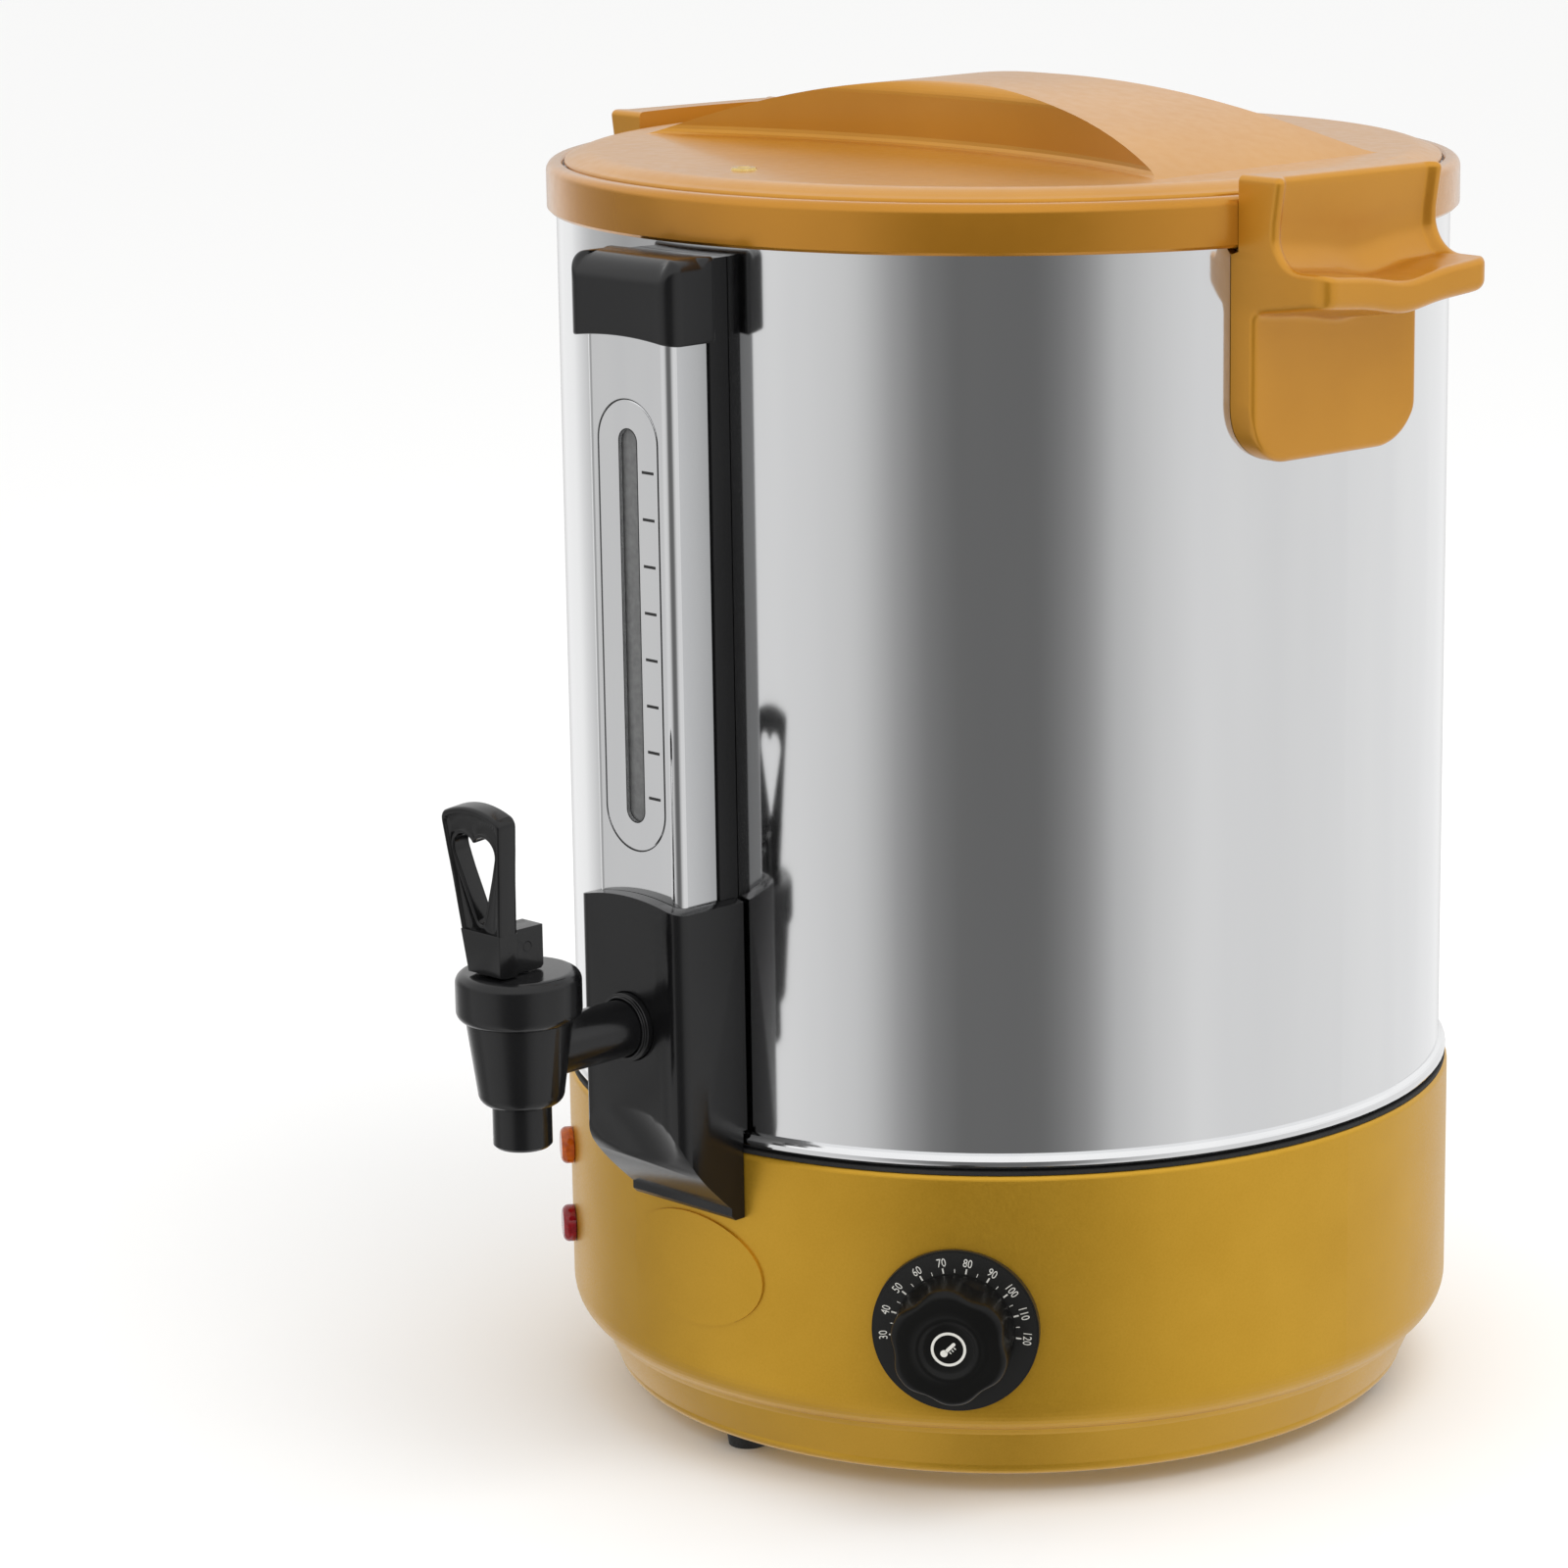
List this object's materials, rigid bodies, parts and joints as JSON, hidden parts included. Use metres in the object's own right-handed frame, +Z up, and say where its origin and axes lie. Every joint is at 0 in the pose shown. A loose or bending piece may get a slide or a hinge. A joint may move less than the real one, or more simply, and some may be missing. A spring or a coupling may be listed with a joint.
{
  "type": "coffee urn",
  "caption": "Round electric coffee urn: double-walled steel vessel on a painted base, lift-off lid with a bridge, side handles, sight gauge, lever tap and thermostat dial.",
  "frame": {"origin": "on the floor, under the middle of the object's box; the vessel's axis stands 41.8 mm behind it along +Y", "axes": "+Z up, -Y the way the tap points, +X towards the right-hand handle seen from the tap"},
  "size_m": [0.3606, 0.39, 0.4362],
  "materials": {
    "gold_paint": "satin metallic gold paint",
    "gold_plastic": "satin amber-gold moulding",
    "jacket_steel": "polished stainless steel",
    "gauge_chrome": "bright plated sheet",
    "tank_steel": "drawn stainless steel",
    "zinc_steel": "plated steel",
    "black_plastic": "glossy black moulding",
    "dial_black": "satin black moulding",
    "rubber": "matt black rubber",
    "silicone": "translucent silicone",
    "sight_glass": "clear tube",
    "amber_lamp": "amber lens",
    "red_lamp": "red lens",
    "lamp_white": "off-white moulding",
    "brass": "bright brass",
    "control_metal": "plain metal",
    "heater_dark": "heat-dulled metal"
  },
  "bodies": {
    "urn": {"base_skirt": "gold_paint", "base_plate": "zinc_steel", "rubber_feet": "rubber", "foot_screws": "zinc_steel", "base_gasket": "rubber", "outer_shell": "jacket_steel", "inner_tank": "tank_steel", "rim_collar": "gold_paint", "handle_right": "gold_plastic", "handle_left": "gold_plastic", "handle_screws": "zinc_steel", "gauge_strip": "black_plastic", "gauge_cover": "gauge_chrome", "gauge_cap": "black_plastic", "sight_tube": "sight_glass", "tube_seals": "silicone", "gauge_tee": "black_plastic", "tap_cover": "black_plastic", "tap_body": "black_plastic", "shank_ring": "black_plastic", "shank_nut": "black_plastic", "shank_washers": "silicone", "tap_bonnet": "black_plastic", "tap_spring": "zinc_steel", "dial_plate": "dial_black", "thermostat_body": "control_metal", "thermostat_screws": "zinc_steel", "sensor_bulb": "brass", "heater_plate": "control_metal", "heating_element": "heater_dark", "dry_boil_cutout": "dial_black", "amber_lens": "amber_lamp", "red_lens": "red_lamp", "lamp_bodies": "lamp_white", "power_inlet": "black_plastic", "inlet_pins": "brass", "inlet_screws": "zinc_steel"},
    "lid": {"lid_shell": "gold_plastic", "lid_liner": "tank_steel", "lid_gasket": "silicone", "vent_eyelet": "brass", "lid_screws": "zinc_steel"},
    "stem": {"tap_stem": "zinc_steel", "seat_cup": "silicone"},
    "lever": {"tap_lever": "black_plastic", "lever_pin": "zinc_steel"},
    "knob": {"temperature_knob": "dial_black", "thermostat_spindle": "zinc_steel"}
  },
  "joints": [
    {"name": "lid_lift", "type": "slide", "parent": "urn", "child": "lid", "axis": [0, 0, 1], "range_m": [0, 0.15]},
    {"name": "stem_lift", "type": "slide", "parent": "urn", "child": "stem", "axis": [0, 0, 1], "range_m": [0, 0.0049], "deforming": ["tap_spring"]},
    {"name": "lever_tilt", "type": "hinge", "parent": "stem", "child": "lever", "pos_m": [0, -0.17623, 0.1893], "axis": [1, 0, 0], "range_deg": [0, 28], "stiffness_Nm_per_rad": 0.06, "springref_deg": -28.65},
    {"name": "knob_turn", "type": "hinge", "parent": "urn", "child": "knob", "pos_m": [0.08803, -0.0772, 0.061], "axis": [0.5948, -0.8039, 0], "range_deg": [-100, 100]}
  ],
  "couplings": [
    {"joint": "stem_lift", "follows": "lever_tilt", "m_per_rad": 0.01}
  ]
}
